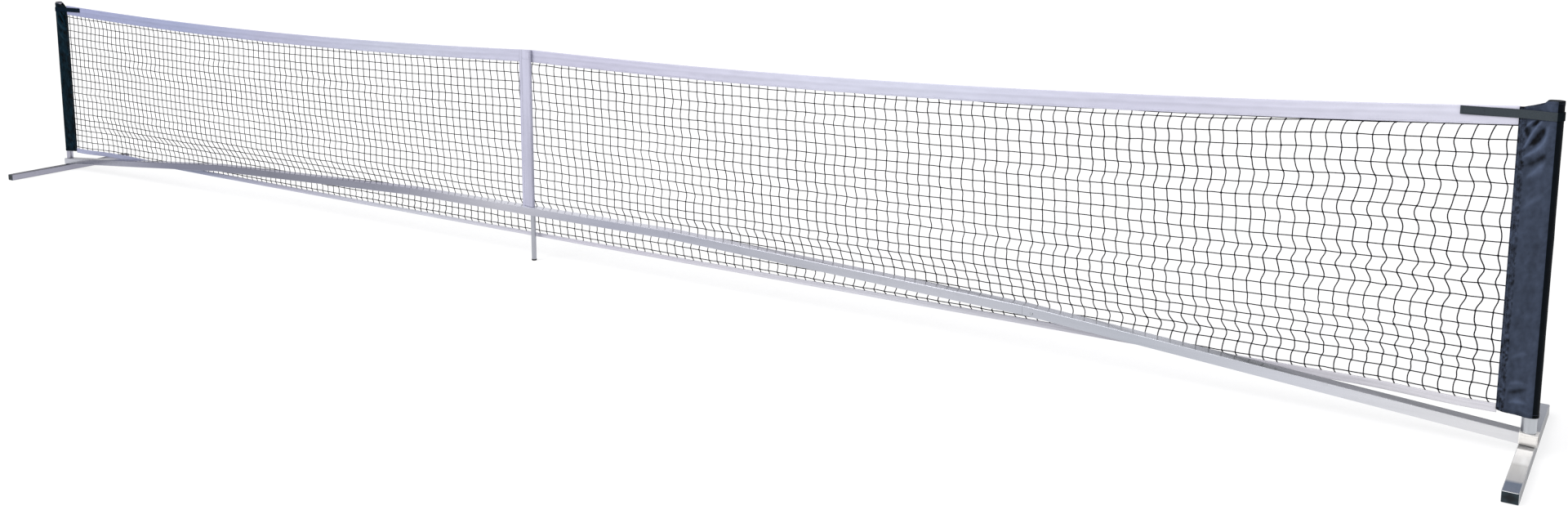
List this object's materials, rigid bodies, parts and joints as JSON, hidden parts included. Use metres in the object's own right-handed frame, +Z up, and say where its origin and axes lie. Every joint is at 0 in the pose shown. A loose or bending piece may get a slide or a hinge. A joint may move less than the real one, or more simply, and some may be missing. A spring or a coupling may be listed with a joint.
{
  "type": "portable pickleball net system",
  "caption": "Free-standing court net on an arched sectional base bar with swivelling feet, lift-off posts, taped cord net, post sleeves, corner straps and a centre support.",
  "frame": {"origin": "on the floor, under the axis of the centre leg, midway between the posts", "axes": "+Z up, +X along the net towards its right-hand end as seen in the picture, +Y across the net, away from the camera"},
  "size_m": [6.846, 0.73, 0.936],
  "materials": {
    "aluminium": "satin drawn aluminium tube",
    "spring_steel": "plain spring steel",
    "black_plastic": "moulded black plastic",
    "rubber": "matt black rubber",
    "white_tape": "coated white woven tape",
    "net_cord": "black knotted twine",
    "dark_nylon": "dark navy coated nylon",
    "webbing": "dark grey polyester webbing"
  },
  "bodies": {
    "net_frame": {"beam_center": "aluminium", "beam_mid_left": "aluminium", "beam_mid_right": "aluminium", "beam_end_left": "aluminium", "beam_end_right": "aluminium", "coupler_inner_left": "aluminium", "coupler_inner_right": "aluminium", "coupler_outer_left": "aluminium", "coupler_outer_right": "aluminium", "center_rod": "aluminium", "center_sleeve": "white_tape", "net_mesh": "net_cord", "top_tape": "white_tape", "bottom_tape": "white_tape", "side_sleeve_left": "dark_nylon", "side_sleeve_right": "dark_nylon", "strap_left": "webbing", "strap_right": "webbing"},
    "left_foot": {"foot_left": "aluminium", "foot_pin_left": "aluminium", "foot_plug_left_front": "black_plastic", "foot_plug_left_rear": "black_plastic"},
    "right_foot": {"foot_right": "aluminium", "foot_pin_right": "aluminium", "foot_plug_right_front": "black_plastic", "foot_plug_right_rear": "black_plastic"},
    "left_post": {"post_left": "aluminium", "post_cap_left": "black_plastic"},
    "right_post": {"post_right": "aluminium", "post_cap_right": "black_plastic"},
    "middle_leg": {"center_leg": "aluminium", "center_leg_tip": "rubber"},
    "left_button": {"snap_button_left": "aluminium", "snap_spring_left": "spring_steel"},
    "right_button": {"snap_button_right": "aluminium", "snap_spring_right": "spring_steel"}
  },
  "joints": [
    {"name": "foot_left_swivel", "type": "hinge", "parent": "net_frame", "child": "left_foot", "pos_m": [-3.4, 0, 0], "axis": [0, 0, 1], "continuous": true},
    {"name": "foot_right_swivel", "type": "hinge", "parent": "net_frame", "child": "right_foot", "pos_m": [3.4, 0, 0], "axis": [0, 0, 1], "continuous": true},
    {"name": "post_left_lift", "type": "slide", "parent": "net_frame", "child": "left_post", "axis": [0, 0, 1], "range_m": [0, 0.88]},
    {"name": "post_right_lift", "type": "slide", "parent": "net_frame", "child": "right_post", "axis": [0, 0, 1], "range_m": [0, 0.88]},
    {"name": "center_leg_pull", "type": "slide", "parent": "net_frame", "child": "middle_leg", "axis": [0, 0, 1], "range_m": [-0.21, 0]},
    {"name": "snap_button_left_press", "type": "slide", "parent": "net_frame", "child": "left_button", "axis": [0, -1, 0], "range_m": [0, 0.0043], "stiffness_N_per_m": 1200, "springref_m": -0.004},
    {"name": "snap_button_right_press", "type": "slide", "parent": "net_frame", "child": "right_button", "axis": [0, 1, 0], "range_m": [0, 0.0043], "stiffness_N_per_m": 1200, "springref_m": -0.004}
  ]
}
